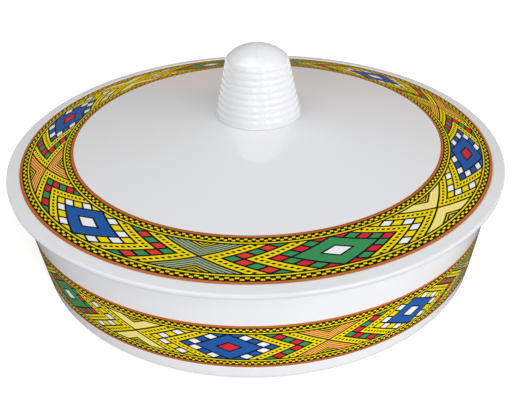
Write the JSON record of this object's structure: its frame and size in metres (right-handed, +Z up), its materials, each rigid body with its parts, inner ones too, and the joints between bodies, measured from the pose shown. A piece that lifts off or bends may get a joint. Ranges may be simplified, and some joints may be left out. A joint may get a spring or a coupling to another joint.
{
  "type": "lidded injera serving bowl",
  "caption": "Round glossy moulded bowl with a flared collar and foot ring, a loose conical lid with a ribbed knob, and printed border bands, for keeping and serving injera.",
  "frame": {"origin": "centre of the foot ring, on the surface the bowl stands on", "axes": "+Z up along the axis of bowl and lid, -Y towards the picture's viewer, +X to that viewer's right"},
  "size_m": [0.4508, 0.4508, 0.1933],
  "materials": {
    "bowl_white": "polished white melamine",
    "bowl_print": "printed decor foil under a clear melamine gloss",
    "lid_white": "polished white melamine",
    "lid_print": "printed decor foil under a clear melamine gloss",
    "knob_white": "polished white melamine",
    "insert_brass": "turned",
    "screw_steel": "zinc plated",
    "washer_seal": "matt moulded rubber"
  },
  "bodies": {
    "bowl": {"base_bowl": "bowl_white", "base_band": "bowl_print"},
    "lid": {"lid_shell": "lid_white", "lid_band": "lid_print", "knob": "knob_white", "knob_insert": "insert_brass", "knob_screw": "screw_steel", "knob_washer": "washer_seal"}
  },
  "joints": [
    {"name": "lid_lift", "type": "slide", "parent": "bowl", "child": "lid", "axis": [0, 0, 1], "range_m": [0, 0.2]}
  ]
}
